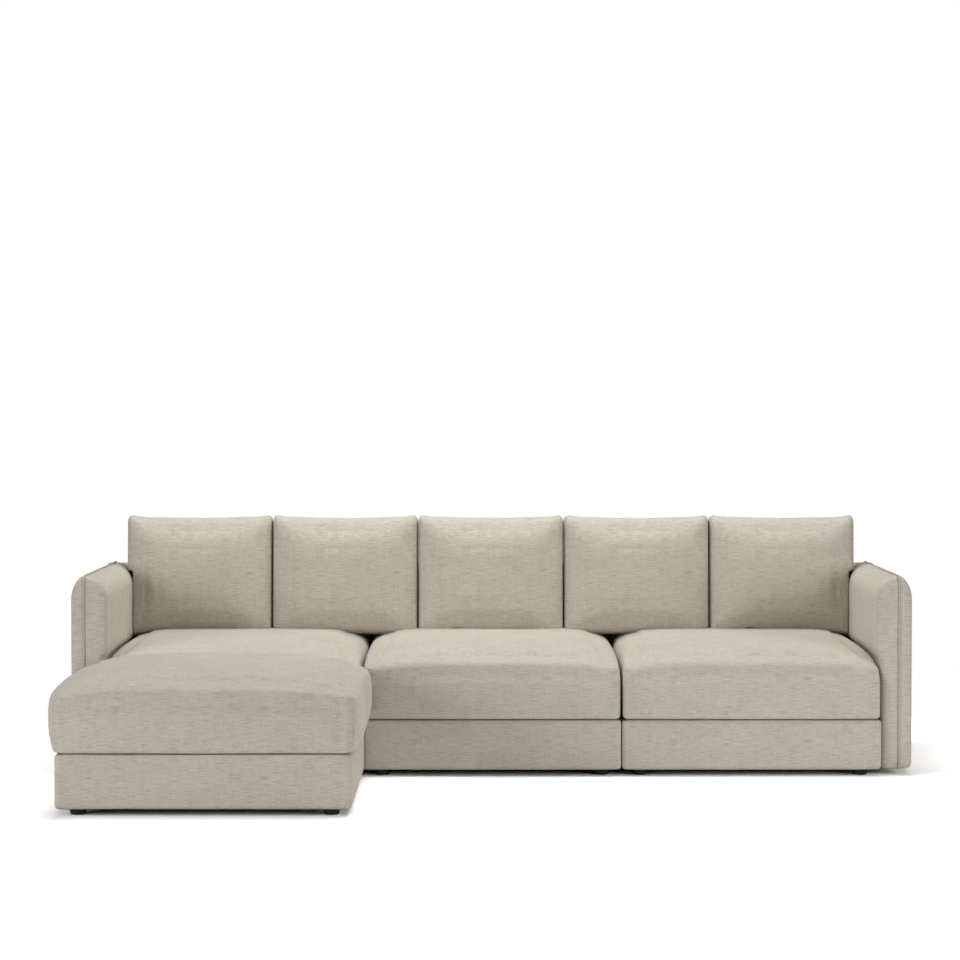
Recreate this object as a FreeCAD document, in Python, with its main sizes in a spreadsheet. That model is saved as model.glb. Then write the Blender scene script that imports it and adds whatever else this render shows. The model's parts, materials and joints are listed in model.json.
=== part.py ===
"""Three-seater sofa with a footstool, as a parametric document in millimetres.

Three upholstered seats stand side by side between two slim padded arms.  Each seat is a
box base on puck feet with a thick crowned cushion on it, and a low padded back behind it.
Five loose cushions lean on the backs.  The footstool is a wider base and cushion of the
same height, standing in front of the left seat.

Left and right are as seen from the front.  X runs to the right, Y to the back, Z up, and
the origin is on the floor under the middle of the whole set.
"""

import FreeCAD
import Part

import math
import os
import re

import Sketcher
from FreeCAD import Placement, Rotation, Vector

DOC = FreeCAD.newDocument("ThreeSeaterSofa")

# Driving sizes: alias, millimetres (degrees or a count where said), meaning
SIZES = (
    ("module_width", 853, "pitch of the three seats"),
    ("module_depth", 825, "front of a base to the face of the back"),
    ("module_gap", 2, "gap between neighbouring seats"),
    ("base_lift", 20, "floor to the underside"),
    ("base_height", 167, "upholstered base, underside to top"),
    ("cover_wall", 14, "padded cover round a base frame"),
    ("cover_radius", 12, "rounded edges of the base cover"),
    ("rail_thickness", 24, "boards of the base frame"),
    ("stretcher_height", 60, "middle board of the base frame"),
    ("block_side", 50, "corner block that takes a foot"),
    ("block_height", 90, "corner block that takes a foot"),
    ("dust_thickness", 2, "dust cover under the frame"),
    ("strap_width", 60, "elastic webbing"),
    ("strap_thickness", 2, "elastic webbing"),
    ("straps_deep", 6, "count of straps from front to back"),
    ("straps_wide", 5, "count of straps from side to side"),
    ("deck_thickness", 8, "felt and cloth over the webbing"),
    ("foot_top_diameter", 52, "puck foot where it meets the base"),
    ("foot_base_diameter", 46, "puck foot at the floor"),
    ("foot_rim", 5, "straight rim at the top of a foot"),
    ("foot_chamfer", 2, "broken edge at the floor"),
    ("stud_diameter", 8, "threaded stud of a foot"),
    ("stud_in_foot", 12, "stud held in the foot"),
    ("stud_in_block", 40, "stud held in the corner block"),
    ("bore_clearance", 0.4, "bore over its bolt or stud, on the diameter"),
    ("bore_runout", 2, "bore past the tip of its bolt or stud"),
    ("arm_thickness", 103, "arm beside the base"),
    ("arm_height", 658, "floor to the top of an arm"),
    ("arm_setback", 25, "arm front behind the base front"),
    ("arm_gap", 1, "gap between an arm and the seat beside it"),
    ("arm_bulge", 18, "inner padding that stands out above the seat"),
    ("bulge_start", 182, "top of the base to the start of that padding"),
    ("bulge_run", 48, "height over which that padding swells"),
    ("arm_shoulder", 76, "height of the outer rounding"),
    ("arm_crown_radius", 25, "rounding at the welt"),
    ("welt_inset", 45, "outer face of an arm to its welt"),
    ("arm_edge_radius", 18, "edges of the two ends"),
    ("arm_foot_radius", 20, "long edges along the floor"),
    ("arm_pad", 25, "padding on the sides and ends of the arm frame"),
    ("arm_top_pad", 50, "padding over the arm frame"),
    ("post_width", 45, "uprights of the arm and back frames"),
    ("head_height", 45, "top board of the arm and back frames"),
    ("sill_height", 110, "bottom board of the arm and back frames"),
    ("welt_diameter", 6, "corded welt"),
    ("back_thickness", 110, "padded back behind the cushions"),
    ("back_height", 648, "floor to the top of a back"),
    ("back_top_radius", 40, "long top edges of a back"),
    ("back_foot_radius", 20, "long bottom edges of a back"),
    ("back_edge_radius", 14, "edges of the two ends of a back"),
    ("back_pad", 28, "padding round the back frame"),
    ("back_top_pad", 50, "padding over the back frame"),
    ("bolt_diameter", 8, "bolts that hold arms and backs"),
    ("bolt_head_diameter", 20, "bolts that hold arms and backs"),
    ("bolt_head_height", 5, "bolts that hold arms and backs"),
    ("bolt_bite", 40, "bolt length inside the arm or back frame"),
    ("bolt_rise", 70, "underside to the bolts"),
    ("bolt_inset", 190, "corner of a base to its bolts"),
    ("plate_width", 40, "plates that link the seats"),
    ("plate_margin", 18, "plate past its screws"),
    ("plate_thickness", 3, "plates that link the seats"),
    ("plate_radius", 6, "corners of a link plate"),
    ("plate_inset", 150, "front or rear of a base to its link plate"),
    ("screw_diameter", 6, "screws of the link plates"),
    ("screw_head_diameter", 14, "screws of the link plates"),
    ("screw_head_height", 4, "screws of the link plates"),
    ("screw_bite", 28, "screw length inside the side board"),
    ("seat_edge", 162, "base to the front corners of a cushion's top, before rounding"),
    ("seat_side", 190, "base to the middle of that top's edges, before rounding"),
    ("seat_crown", 243, "cushion height at its crown"),
    ("seat_edge_radius", 28, "soft edge round the top of a cushion"),
    ("seat_hem_radius", 12, "soft edge where a cushion meets its base"),
    ("seat_overhang", 4, "cushion past the front of its base"),
    ("seat_side_gap", 1.5, "cushion inside the line of its seat, each side"),
    ("seat_rear_gap", 2, "cushion in front of the back"),
    ("seat_corner", 30, "upright corners of a cushion"),
    ("seat_bow", 3, "swell of a cushion's sides between its corners"),
    ("back_cushion_height", 428, "loose cushion"),
    ("back_cushion_thickness", 185, "loose cushion at its crown"),
    ("back_cushion_corner", 26, "corners of a loose cushion"),
    ("back_cushion_draw", 4, "how far its top and bottom draw in between the corners"),
    ("back_cushion_gap", 2, "gap between loose cushions"),
    ("back_cushion_swell", 23, "outer loose cushion over the top of its arm"),
    ("back_cushion_sink", 38, "loose cushion pressed into the seat crown"),
    ("back_cushion_lean", 4, "degrees that a loose cushion leans back"),
    ("soft_clear", 0.4, "clearance between soft pieces that come apart"),
    ("stool_width", 882, "footstool base"),
    ("stool_depth", 845, "footstool base"),
    ("stool_gap", 10, "footstool base to the sofa base"),
    ("stool_shift", 5, "footstool to the left of the middle of its seat"),
    ("stool_overhang", 8, "footstool cushion past the front of its base"),
    ("stool_bow", 20, "swell of the footstool cushion's two sides"),
    ("stool_rear_overhang", 2, "footstool cushion past its base at the rear"),
)

# Sizes that follow from the driving ones
DERIVED = (
    ("front_y", "(stool_gap + stool_depth + stool_overhang - module_depth - back_thickness) / 2"),
    ("base_top", "base_lift + base_height"),
    ("rail_bottom", "base_lift + dust_thickness"),
    ("rail_top", "base_top - deck_thickness - 2 * strap_thickness"),
    ("rail_height", "rail_top - rail_bottom"),
    ("frame_inset", "cover_wall + rail_thickness"),
    ("foot_inset", "frame_inset + block_side / 2"),
    ("seat_width", "module_width - module_gap"),
    ("seat_half", "1.5 * module_width - module_gap / 2"),
    ("arm_x", "seat_half + arm_gap"),
    ("arm_y", "front_y + arm_setback"),
    ("arm_rise", "arm_height - base_lift"),
    ("arm_length", "module_depth - arm_setback"),
    ("arm_core", "arm_thickness - 2 * arm_pad"),
    ("arm_inner_radius", "arm_bulge + arm_thickness - welt_inset"),
    ("bulge_z", "base_height + bulge_start"),
    ("back_y", "front_y + module_depth"),
    ("back_rise", "back_height - base_lift"),
    ("back_core", "back_thickness - 2 * back_pad"),
    ("inner_seam", "module_width / 2 + module_gap / 2"),
    ("side_back_width", "arm_x + arm_thickness - inner_seam"),
    ("bolt_z", "base_lift + bolt_rise"),
    ("link_reach", "module_gap / 2 + cover_wall + rail_thickness / 2"),
    ("stool_x", "-module_width - stool_shift"),
    ("stool_y", "front_y - stool_gap - stool_depth"),
    ("cushion_span", "2 * (arm_x - arm_bulge + back_cushion_swell)"),
    ("cushion_width", "(cushion_span - 4 * back_cushion_gap) / 5"),
    ("cushion_z", "base_top + seat_crown - back_cushion_sink"),
)

SIZE_NAMES = {row[0] for row in SIZES}
DERIVED_NAMES = {row[0] for row in DERIVED}

# A loose cushion's section is a superellipse, cut at these shares of the way to its crown
CROWN_STEPS = (0.25, 0.5, 0.7, 0.84, 0.93, 0.98)
CROWN_POWER = 3.0  # 2 is an ellipse, more is a flatter crown with fuller edges
CORNER_GROWTH = 0.05  # how fast the corners round off towards the crown
SEAT_CROWN_PLACE = 0.65  # a seat's crown lies at this share of its depth, from the front
STOOL_CROWN_PLACE = 0.5
SEAT_CROWN_POWER = 4  # the top of a seat is nearly flat and falls off close to its edges
CROWN_MARGIN = 1.2  # the surface over a cushion runs this much past its edges
CROWN_POINTS = 9  # points each way that the surface passes through

NODES = []
BORES = []


def ex(text, in_derived=False):
    """Write the sheet's name before each alias in an expression."""

    def full_name(match):
        word = match.group(0)
        if word in SIZE_NAMES:
            return f"Sizes.{word}"
        if word in DERIVED_NAMES and not in_derived:
            return f"Derived.{word}"
        return word

    return re.sub(r"[a-z_]+", full_name, text)


def make_sheet(name, rows):
    """A sheet with one aliased cell in each row."""
    sheet = DOC.addObject("Spreadsheet::Sheet", name)
    for number, (alias, content, note) in enumerate(rows, start=1):
        sheet.set(f"A{number}", alias)
        sheet.set(f"B{number}", content)
        sheet.setAlias(f"B{number}", alias)
        sheet.set(f"C{number}", note)
    DOC.recompute()
    return sheet


SHEET = make_sheet("Sizes", [(alias, str(value), note) for alias, value, note in SIZES])
FOLLOWS = make_sheet(
    "Derived", [(alias, "=" + ex(text, True), text) for alias, text in DERIVED]
)


def num(alias):
    """The number that a sheet holds for an alias."""
    sheet = SHEET if alias in SIZE_NAMES else FOLLOWS
    return float(sheet.get(alias))


def node(obj, label):
    """Name an object as a finished piece."""
    obj.Label = label
    NODES.append(obj)
    return obj


def place(obj, x="0", y="0", z="0"):
    """Bind an object's position."""
    for axis, text in zip("xyz", (x, y, z)):
        obj.setExpression(f"Placement.Base.{axis}", ex(text))
    return obj


def turn(obj, axis, degrees):
    """Turn an object before its position is bound."""
    obj.Placement = Placement(Vector(), Rotation(axis, degrees))
    return obj


def box(name, at, size):
    """A board: its low corner and its three sizes as expressions."""
    board = DOC.addObject("Part::Box", name)
    for prop, text in zip(("Length", "Width", "Height"), size):
        board.setExpression(prop, ex(text))
    return place(board, *at)


def rod(name, at, diameter, length, axis="z"):
    """A cylinder that starts at a point and runs along +Z, +X, -X or +Y."""
    shaft = DOC.addObject("Part::Cylinder", name)
    shaft.setExpression("Radius", ex(f"({diameter}) / 2"))
    shaft.setExpression("Height", ex(length))
    turns = {
        "z": (Vector(0, 0, 1), 0),
        "x": (Vector(0, 1, 0), 90),
        "-x": (Vector(0, 1, 0), -90),
        "y": (Vector(1, 0, 0), -90),
    }
    return place(turn(shaft, *turns[axis]), *at)


def group(name, members):
    """Separate solids kept together as one piece."""
    compound = DOC.addObject("Part::Compound", name)
    compound.Links = members
    return compound


def cut(name, base, tool):
    """One object with another taken out of it."""
    result = DOC.addObject("Part::Cut", name)
    result.Base = base
    result.Tool = tool
    return result


def mirrored(name, source):
    """The same piece on the other side of the sofa."""
    twin = DOC.addObject("Part::Mirroring", name)
    twin.Source = source
    twin.Normal = Vector(1, 0, 0)
    return twin


def new_sketch(body, name, role):
    """A sketch on one of a body's own origin planes."""
    sketch = body.newObject("Sketcher::SketchObject", name)
    plane = next(item for item in body.Origin.OriginFeatures if item.Role == role)
    sketch.AttachmentSupport = [(plane, "")]
    sketch.MapMode = "FlatFace"
    return sketch


def bind(sketch, constraint, name, text):
    """Add a named dimension to a sketch and bind it."""
    index = sketch.addConstraint(constraint)
    sketch.renameConstraint(index, name)
    sketch.setExpression(f"Constraints.{name}", ex(text))


def polyline(sketch, points):
    """A closed outline through corner points given as pairs of expressions."""
    count = len(points)
    for index in range(count):
        here = 2 * math.pi * index / count
        there = 2 * math.pi * (index + 1) / count
        ends = [Vector(50 + 40 * math.cos(a), 50 + 40 * math.sin(a), 0) for a in (here, there)]
        sketch.addGeometry(Part.LineSegment(*ends))
    for index, (across, along) in enumerate(points):
        before = (index - 1) % count
        sketch.addConstraint(Sketcher.Constraint("Coincident", before, 2, index, 1))
        if across == "0":
            sketch.addConstraint(Sketcher.Constraint("PointOnObject", index, 1, -2))
        else:
            spread = Sketcher.Constraint("DistanceX", -1, 1, index, 1, 50)
            bind(sketch, spread, f"across{index}", across)
        if along == "0":
            sketch.addConstraint(Sketcher.Constraint("PointOnObject", index, 1, -1))
        else:
            rise = Sketcher.Constraint("DistanceY", -1, 1, index, 1, 50)
            bind(sketch, rise, f"along{index}", along)


def rectangle(sketch, low, high):
    """An upright rectangle between two corners."""
    (left, bottom), (right, top) = low, high
    polyline(sketch, [(left, bottom), (right, bottom), (right, top), (left, top)])


def pad(body, sketch, length, flip=False):
    """Extrude a sketch."""
    feature = body.newObject("PartDesign::Pad", f"{body.Name}_pad")
    feature.Profile = sketch
    feature.Reversed = flip
    feature.setExpression("Length", ex(length))
    DOC.recompute()
    return feature


def pocket(body, sketch, length):
    """Hollow a body upwards from a sketch under it."""
    before = body.Shape.Volume
    feature = body.newObject("PartDesign::Pocket", f"{body.Name}_pocket")
    feature.Profile = sketch
    feature.Reversed = True
    feature.setExpression("Length", ex(length))
    DOC.recompute()
    if not body.Shape.Volume < before:
        raise RuntimeError(f"{body.Name}: the pocket took nothing away")
    return feature


def edge_names(shape, wanted):
    """Names of the edges that pass a test."""
    return [f"Edge{i}" for i, edge in enumerate(shape.Edges, start=1) if wanted(edge)]


def along_axis(edge, axis):
    """Whether an edge is a straight line along an axis."""
    if not isinstance(edge.Curve, Part.Line):
        return False
    return abs(edge.Curve.Direction.dot(axis)) > 0.999


def in_plane(edge, axis, level):
    """Whether an edge lies in a plane square to an axis."""
    bounds = edge.BoundBox
    low = Vector(bounds.XMin, bounds.YMin, bounds.ZMin).dot(axis)
    high = Vector(bounds.XMax, bounds.YMax, bounds.ZMax).dot(axis)
    return abs(low - level) < 0.01 and abs(high - level) < 0.01


def fillet(body, feature, names, radius):
    """Round some edges of a feature."""
    rounding = body.newObject("PartDesign::Fillet", f"{body.Name}_round")
    rounding.Base = (feature, names)
    rounding.setExpression("Radius", ex(radius))
    DOC.recompute()
    return rounding


def round_ends(body, feature, axis, length, radius):
    """Round the edges round both ends of a long padded piece."""
    names = edge_names(
        feature.Shape, lambda edge: in_plane(edge, axis, 0) or in_plane(edge, axis, length)
    )
    return fillet(body, feature, names, radius)


def foot_body():
    """One moulded puck foot, tapering to the floor, with a blind hole for its stud."""
    body = DOC.addObject("PartDesign::Body", "foot")
    sketch = new_sketch(body, "foot_profile", "XZ_Plane")
    polyline(
        sketch,
        [
            ("0", "0"),
            ("foot_base_diameter / 2 - foot_chamfer", "0"),
            ("foot_base_diameter / 2", "foot_chamfer"),
            ("foot_top_diameter / 2", "base_lift - foot_rim"),
            ("foot_top_diameter / 2", "base_lift"),
            ("stud_diameter / 2", "base_lift"),
            ("stud_diameter / 2", "base_lift - stud_in_foot"),
            ("0", "base_lift - stud_in_foot"),
        ],
    )
    turned = body.newObject("PartDesign::Revolution", "foot_turned")
    turned.Profile = sketch
    turned.ReferenceAxis = (sketch, ["V_Axis"])
    turned.Angle = 360
    DOC.recompute()
    return body


def headed(name, diameter, length, head_diameter, head_height):
    """A bolt or screw standing on its head, with the head under the origin."""
    shank = rod(f"{name}_shank", ("0", "0", "0"), diameter, length)
    head = rod(f"{name}_head", ("0", "0", f"-{head_height}"), head_diameter, head_height)
    whole = DOC.addObject("Part::Fuse", name)
    whole.Base = shank
    whole.Tool = head
    return whole


def copies(label, source, spots, axis=Vector(0, 0, 1), degrees=(0,)):
    """Equal pieces at several places, each turned about an axis."""
    links = []
    for index, spot in enumerate(spots):
        link = DOC.addObject("App::Link", f"{label}_{index + 1}")
        link.LinkedObject = source
        turn(link, axis, degrees[index % len(degrees)])
        links.append(place(link, *spot))
    return node(group(f"{label}_group", links), label)


class Base:
    """Where one upholstered base stands, as expressions."""

    def __init__(self, name, left, front, width, depth):
        self.name = name
        self.left = left
        self.front = front
        self.width = width
        self.depth = depth

    def from_left(self, text):
        return f"{self.left} + {text}"

    def from_right(self, text):
        return f"{self.left} + {self.width} - ({text})"

    def from_front(self, text):
        return f"{self.front} + {text}"

    def from_rear(self, text):
        return f"{self.front} + {self.depth} - ({text})"

    def corners(self, inset):
        """The four places at an inset from the corners."""
        return [
            (across, along)
            for across in (self.from_left(inset), self.from_right(inset))
            for along in (self.from_front(inset), self.from_rear(inset))
        ]


SEATS = [
    Base(f"{side}_seat", f"{centre} - seat_width / 2", "front_y", "seat_width", "module_depth")
    for side, centre in (("left", "-module_width"), ("middle", "0"), ("right", "module_width"))
]
STOOL = Base("footstool", "stool_x - stool_width / 2", "stool_y", "stool_width", "stool_depth")


def bore(name, at, diameter, length, axis="z"):
    """Clearance round a stud, bolt or screw, cut from each piece that it passes through."""
    wide = f"{diameter} + bore_clearance"
    BORES.append(rod(f"{name}_bore", at, wide, f"{length} + bore_runout", axis))


def build_feet(base, foot):
    """Four feet and their studs under a base."""
    spots = base.corners("foot_inset")
    copies(f"{base.name}_feet", foot, [(across, along, "0") for across, along in spots])
    studs = []
    for index, (across, along) in enumerate(spots):
        at = (across, along, "base_lift - stud_in_foot")
        length = "stud_in_foot + dust_thickness + stud_in_block"
        studs.append(rod(f"{base.name}_stud_{index + 1}", at, "stud_diameter", length))
        bore(f"{base.name}_stud_{index + 1}", at, "stud_diameter", length)
    node(group(f"{base.name}_stud_group", studs), f"{base.name}_foot_studs")


def build_arm_bolts():
    """Two bolts through each outer side board into the arm beside it."""
    reach = "rail_thickness + cover_wall + arm_gap + arm_pad + bolt_bite"
    bolt = headed("arm_bolt", "bolt_diameter", reach, "bolt_head_diameter", "bolt_head_height")
    spots = []
    for sign, axis in (("", "x"), ("-", "-x")):
        for along in ("front_y + bolt_inset", "back_y - bolt_inset"):
            spot = (f"{sign}(seat_half - frame_inset)", along, "bolt_z")
            spots.append(spot)
            bore(f"arm_bolt_{len(spots)}", spot, "bolt_diameter", reach, axis)
    copies("arm_bolts", bolt, spots, Vector(0, 1, 0), (90, 90, -90, -90))


def build_back_bolts():
    """Two bolts through each rear board into the back behind it."""
    reach = "rail_thickness + cover_wall + back_pad + bolt_bite"
    bolt = headed("back_bolt", "bolt_diameter", reach, "bolt_head_diameter", "bolt_head_height")
    spots = []
    for seat in SEATS:
        for across in (seat.from_left("bolt_inset"), seat.from_right("bolt_inset")):
            spot = (across, "back_y - frame_inset", "bolt_z")
            spots.append(spot)
            bore(f"back_bolt_{len(spots)}", spot, "bolt_diameter", reach, "y")
    copies("back_bolts", bolt, spots, Vector(1, 0, 0), (-90,))


def plate_body():
    """A flat steel plate with a hole near each end, lying from its low corner."""
    body = DOC.addObject("PartDesign::Body", "link_plate")
    length = "2 * (link_reach + plate_margin)"
    sketch = new_sketch(body, "plate_outline", "XY_Plane")
    rectangle(sketch, ("0", "0"), (length, "plate_width"))
    flat = pad(body, sketch, "plate_thickness")
    corners = edge_names(flat.Shape, lambda edge: along_axis(edge, Vector(0, 0, 1)))
    fillet(body, flat, corners, "plate_radius")
    holes = new_sketch(body, "plate_holes", "XY_Plane")
    for index, across in enumerate(("plate_margin", "plate_margin + 2 * link_reach")):
        holes.addGeometry(Part.Circle(Vector(50 + 50 * index, 20, 0), Vector(0, 0, 1), 3))
        spread = Sketcher.Constraint("DistanceX", -1, 1, index, 3, 50)
        bind(holes, spread, f"across{index}", across)
        rise = Sketcher.Constraint("DistanceY", -1, 1, index, 3, 20)
        bind(holes, rise, f"along{index}", "plate_width / 2")
        hole = Sketcher.Constraint("Diameter", index, 6)
        bind(holes, hole, f"hole{index}", "screw_diameter + bore_clearance")
    pocket(body, holes, "plate_thickness")
    return body


def build_links():
    """Two plates under each joint between seats, screwed up into the side boards."""
    low = "base_lift - plate_thickness"
    reach = "plate_thickness + dust_thickness + screw_bite"
    head = ("screw_head_diameter", "screw_head_height")
    screw = headed("link_screw", "screw_diameter", reach, *head)
    plates, screws = [], []
    for joint in ("-module_width / 2", "module_width / 2"):
        for along in ("front_y + plate_inset", "back_y - plate_inset"):
            left = f"{joint} - link_reach - plate_margin"
            plates.append((left, f"{along} - plate_width / 2", low))
            for side in ("- link_reach", "+ link_reach"):
                spot = (f"{joint} {side}", along, low)
                screws.append(spot)
                bore(f"link_screw_{len(screws)}", spot, "screw_diameter", reach)
    copies("link_plates", plate_body(), plates)
    copies("link_screws", screw, screws)


def build_frame(base, bores):
    """Boards, stretcher and corner blocks of a base frame, bored for what they hold."""
    tag = base.name
    wide = f"{base.width} - 2 * cover_wall"
    between = f"{base.depth} - 2 * frame_inset"
    inner_y = base.from_front("frame_inset")
    rear_y = base.from_rear("frame_inset")
    left_x = base.from_left("cover_wall")
    lengthways = (wide, "rail_thickness", "rail_height")
    crossways = ("rail_thickness", between, "rail_height")
    right_x = base.from_right("frame_inset")
    middle_x = base.from_left(f"({base.width} - rail_thickness) / 2")
    front_at = (left_x, base.from_front("cover_wall"), "rail_bottom")
    short = ("rail_thickness", between, "stretcher_height")
    boards = [
        box(f"{tag}_front_rail", front_at, lengthways),
        box(f"{tag}_rear_rail", (left_x, rear_y, "rail_bottom"), lengthways),
        box(f"{tag}_left_rail", (left_x, inner_y, "rail_bottom"), crossways),
        box(f"{tag}_right_rail", (right_x, inner_y, "rail_bottom"), crossways),
        box(f"{tag}_stretcher", (middle_x, inner_y, "rail_bottom"), short),
    ]
    block = ("block_side", "block_side", "block_height")
    for index, (across, along) in enumerate(base.corners("foot_inset")):
        at = (f"{across} - block_side / 2", f"{along} - block_side / 2", "rail_bottom")
        boards.append(box(f"{tag}_block_{index + 1}", at, block))
    node(cut(f"{tag}_frame_bored", group(f"{tag}_boards", boards), bores), f"{tag}_frame")


def build_webbing(base):
    """Elastic straps on the frame, one layer each way."""
    straps = []
    wide = f"({base.width} - 2 * cover_wall)"
    deep = f"({base.depth} - 2 * cover_wall)"
    for index in range(int(num("straps_deep"))):
        middle = f"cover_wall + {wide} * {index + 0.5} / straps_deep"
        across = base.from_left(f"{middle} - strap_width / 2")
        at = (across, base.from_front("cover_wall"), "rail_top")
        size = ("strap_width", deep, "strap_thickness")
        straps.append(box(f"{base.name}_deep_{index + 1}", at, size))
    for index in range(int(num("straps_wide"))):
        middle = f"cover_wall + {deep} * {index + 0.5} / straps_wide"
        along = base.from_front(f"{middle} - strap_width / 2")
        at = (base.from_left("cover_wall"), along, "rail_top + strap_thickness")
        size = (wide, "strap_width", "strap_thickness")
        straps.append(box(f"{base.name}_wide_{index + 1}", at, size))
    node(group(f"{base.name}_straps", straps), f"{base.name}_webbing")


def build_sheets(base, bores):
    """The deck on the webbing and the dust cover under the frame."""
    corner = (base.from_left("cover_wall"), base.from_front("cover_wall"))
    area = (f"{base.width} - 2 * cover_wall", f"{base.depth} - 2 * cover_wall")
    deck_at = (*corner, "base_top - deck_thickness")
    deck = box(f"{base.name}_deck_sheet", deck_at, (*area, "deck_thickness"))
    node(deck, f"{base.name}_deck")
    dust = box(f"{base.name}_dust_sheet", (*corner, "base_lift"), (*area, "dust_thickness"))
    node(cut(f"{base.name}_dust_bored", dust, bores), f"{base.name}_dust_cover")


def build_cover(base, bores):
    """The padded cover: a ring round the frame, rounded on every outer edge."""
    body = DOC.addObject("PartDesign::Body", f"{base.name}_ring")
    outer = new_sketch(body, f"{base.name}_outline", "XY_Plane")
    rectangle(outer, ("0", "0"), (base.width, base.depth))
    block = pad(body, outer, "base_height")
    fillet(body, block, edge_names(block.Shape, lambda edge: True), "cover_radius")
    inner = new_sketch(body, f"{base.name}_hollow", "XY_Plane")
    far = (f"{base.width} - cover_wall", f"{base.depth} - cover_wall")
    rectangle(inner, ("cover_wall", "cover_wall"), far)
    pocket(body, inner, "base_height")
    place(body, base.left, base.front, "base_lift")
    node(cut(f"{base.name}_ring_bored", body, bores), f"{base.name}_cover")


def arc(centre, radius, start, end):
    """A sketch arc, anticlockwise between two angles in radians."""
    return Part.ArcOfCircle(Part.Circle(centre, Vector(0, 0, 1), radius), start, end)


def arm_outline(sketch):
    """The section of an arm: a rounded shoulder outside, a full roll inside, and padding
    that swells inwards above the seat."""
    bulge, thick, rise = num("arm_bulge"), num("arm_thickness"), num("arm_rise")
    shoulder, inset, crown = num("arm_shoulder"), num("welt_inset"), num("arm_crown_radius")
    low, run, roll = num("bulge_z"), num("bulge_run"), num("arm_inner_radius")
    outer = bulge + thick
    ridge = outer - inset
    flank = (inset**2 + shoulder**2 - 2 * shoulder * crown) / (2 * (inset - crown))
    lift = math.atan2(shoulder - crown, flank - inset)
    swell = (run**2 + bulge**2) / (4 * bulge)
    sway = math.asin(run / (2 * swell))
    high = low + run
    sketch.addGeometry(
        [
            Part.LineSegment(Vector(bulge, 0, 0), Vector(outer, 0, 0)),
            Part.LineSegment(Vector(outer, 0, 0), Vector(outer, rise - shoulder, 0)),
            arc(Vector(outer - flank, rise - shoulder, 0), flank, 0, lift),
            arc(Vector(ridge, rise - crown, 0), crown, lift, math.pi / 2),
            arc(Vector(ridge, rise - roll, 0), roll, math.pi / 2, math.pi),
            Part.LineSegment(Vector(0, rise - roll, 0), Vector(0, high, 0)),
            arc(Vector(swell, high, 0), swell, math.pi, math.pi + sway),
            arc(Vector(bulge - swell, low, 0), swell, 0, sway),
            Part.LineSegment(Vector(bulge, low, 0), Vector(bulge, 0, 0)),
        ]
    )
    joints = [
        ("Coincident", 0, 2, 1, 1),
        ("Tangent", 1, 2, 2, 1),
        ("Tangent", 2, 2, 3, 1),
        ("Tangent", 3, 2, 4, 1),
        ("Tangent", 4, 2, 5, 1),
        ("Tangent", 5, 2, 6, 1),
        ("Tangent", 6, 2, 7, 2),
        ("Tangent", 7, 1, 8, 1),
        ("Coincident", 8, 2, 0, 1),
        ("Horizontal", 0),
        ("Vertical", 1),
        ("Vertical", 5),
        ("Vertical", 8),
        ("Vertical", 3, 3, 3, 2),
        ("PointOnObject", 0, 1, -1),
        ("PointOnObject", 5, 1, -2),
        ("Equal", 6, 7),
    ]
    for joint in joints:
        sketch.addConstraint(Sketcher.Constraint(*joint))
    bind(sketch, Sketcher.Constraint("DistanceX", 0, 1, 0, 2, thick), "thickness", "arm_thickness")
    bind(sketch, Sketcher.Constraint("DistanceX", -1, 1, 0, 1, bulge), "bulge", "arm_bulge")
    bind(sketch, Sketcher.Constraint("DistanceX", 3, 2, 1, 2, inset), "inset", "welt_inset")
    bind(sketch, Sketcher.Constraint("DistanceY", -1, 1, 3, 2, rise), "rise", "arm_rise")
    bind(sketch, Sketcher.Constraint("DistanceY", 1, 2, 3, 2, shoulder), "shoulder", "arm_shoulder")
    bind(sketch, Sketcher.Constraint("Radius", 3, crown), "crown", "arm_crown_radius")
    bind(sketch, Sketcher.Constraint("DistanceY", -1, 1, 8, 1, low), "swell_start", "bulge_z")
    bind(sketch, Sketcher.Constraint("DistanceY", 8, 1, 5, 2, run), "swell_run", "bulge_run")


def welt_body(name, run, rise, bend):
    """A cord that climbs one end of a padded piece and runs along its top, in the XZ plane
    from its foot; the run ends where the far end begins to round off."""
    long, tall, radius = (num(alias) for alias in (run, rise, bend))
    body = DOC.addObject("PartDesign::Body", name)
    route = new_sketch(body, f"{name}_route", "XZ_Plane")
    route.addGeometry(
        [
            Part.LineSegment(Vector(0, 0, 0), Vector(0, tall - radius, 0)),
            arc(Vector(radius, tall - radius, 0), radius, math.pi / 2, math.pi),
            Part.LineSegment(Vector(radius, tall, 0), Vector(long - radius, tall, 0)),
        ]
    )
    joints = [
        ("Coincident", 0, 1, -1, 1),
        ("Vertical", 0),
        ("Tangent", 0, 2, 1, 2),
        ("Tangent", 1, 1, 2, 1),
        ("Horizontal", 2),
    ]
    for joint in joints:
        route.addConstraint(Sketcher.Constraint(*joint))
    bind(route, Sketcher.Constraint("Radius", 1, radius), "bend", bend)
    bind(route, Sketcher.Constraint("DistanceX", 0, 1, 2, 2, long - radius), "run", f"{run} - {bend}")
    bind(route, Sketcher.Constraint("DistanceY", 0, 1, 2, 1, tall), "rise", rise)
    section = new_sketch(body, f"{name}_section", "XY_Plane")
    section.addGeometry(Part.Circle(Vector(0, 0, 0), Vector(0, 0, 1), 3))
    section.addConstraint(Sketcher.Constraint("Coincident", 0, 3, -1, 1))
    bind(section, Sketcher.Constraint("Diameter", 0, 6), "cord", "welt_diameter")
    swept = body.newObject("PartDesign::AdditivePipe", f"{name}_cord")
    swept.Profile = section
    swept.Spine = (route, [])
    DOC.recompute()
    return body


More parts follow.
